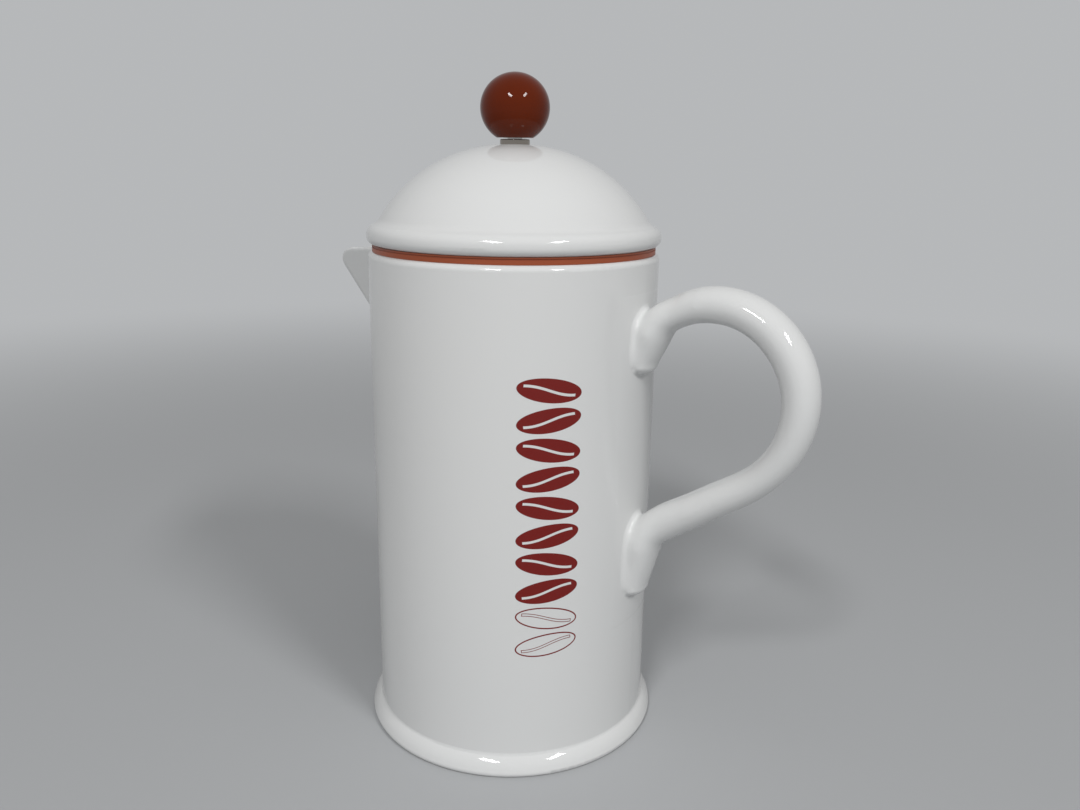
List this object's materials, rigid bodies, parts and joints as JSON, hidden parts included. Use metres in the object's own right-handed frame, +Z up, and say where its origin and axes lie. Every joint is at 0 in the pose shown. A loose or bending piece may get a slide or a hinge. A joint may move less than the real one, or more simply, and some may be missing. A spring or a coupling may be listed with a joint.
{
  "type": "chocolate pot",
  "caption": "Tall porcelain pot with a flared foot, beak spout and looped handle, and a domed lift-off lid on a soft ring with a knobbed frothing plunger.",
  "frame": {"origin": "centre of the resting plane under the foot, on the pot's axis", "axes": "+Z up along the pot's axis, +X towards the handle, -X towards the spout"},
  "size_m": [0.1831, 0.1068, 0.2309],
  "materials": {
    "pot_porcelain": "glossy white glaze with a printed column of plain ovals on one side",
    "porcelain": "glossy white glaze",
    "seal_rubber": "satin brown",
    "gasket_rubber": "matte grey",
    "knob_lacquer": "high gloss dark red-brown",
    "polished_chrome": "polished",
    "polished_steel": "polished",
    "steel": "satin",
    "mesh_steel": "fine woven mesh",
    "spring_steel": "coiled wire",
    "brass": "turned"
  },
  "bodies": {
    "pot": {"pot_body": "pot_porcelain", "spout": "porcelain", "handle": "porcelain"},
    "ring": {"seal_ring": "seal_rubber"},
    "lid": {"lid_dome": "porcelain", "lid_collar": "polished_chrome", "collar_gasket": "gasket_rubber", "under_gasket": "gasket_rubber", "collar_washer": "steel", "collar_nut": "steel"},
    "plunger": {"knob": "knob_lacquer", "knob_insert": "brass", "plunger_rod": "polished_steel", "hub_collar": "polished_steel", "froth_plate": "steel", "mesh_screen": "mesh_steel", "edge_spring": "spring_steel", "cross_plate": "steel", "cap_nut": "polished_steel"}
  },
  "joints": [
    {"name": "lid_lift", "type": "slide", "parent": "pot", "child": "ring", "axis": [0, 0, 1], "range_m": [0, 0.185]},
    {"name": "lid_turn", "type": "hinge", "parent": "ring", "child": "lid", "pos_m": [0, 0, 0.175], "axis": [0, 0, 1], "continuous": true},
    {"name": "plunger_slide", "type": "slide", "parent": "lid", "child": "plunger", "axis": [0, 0, 1], "range_m": [0, 0.142]}
  ]
}
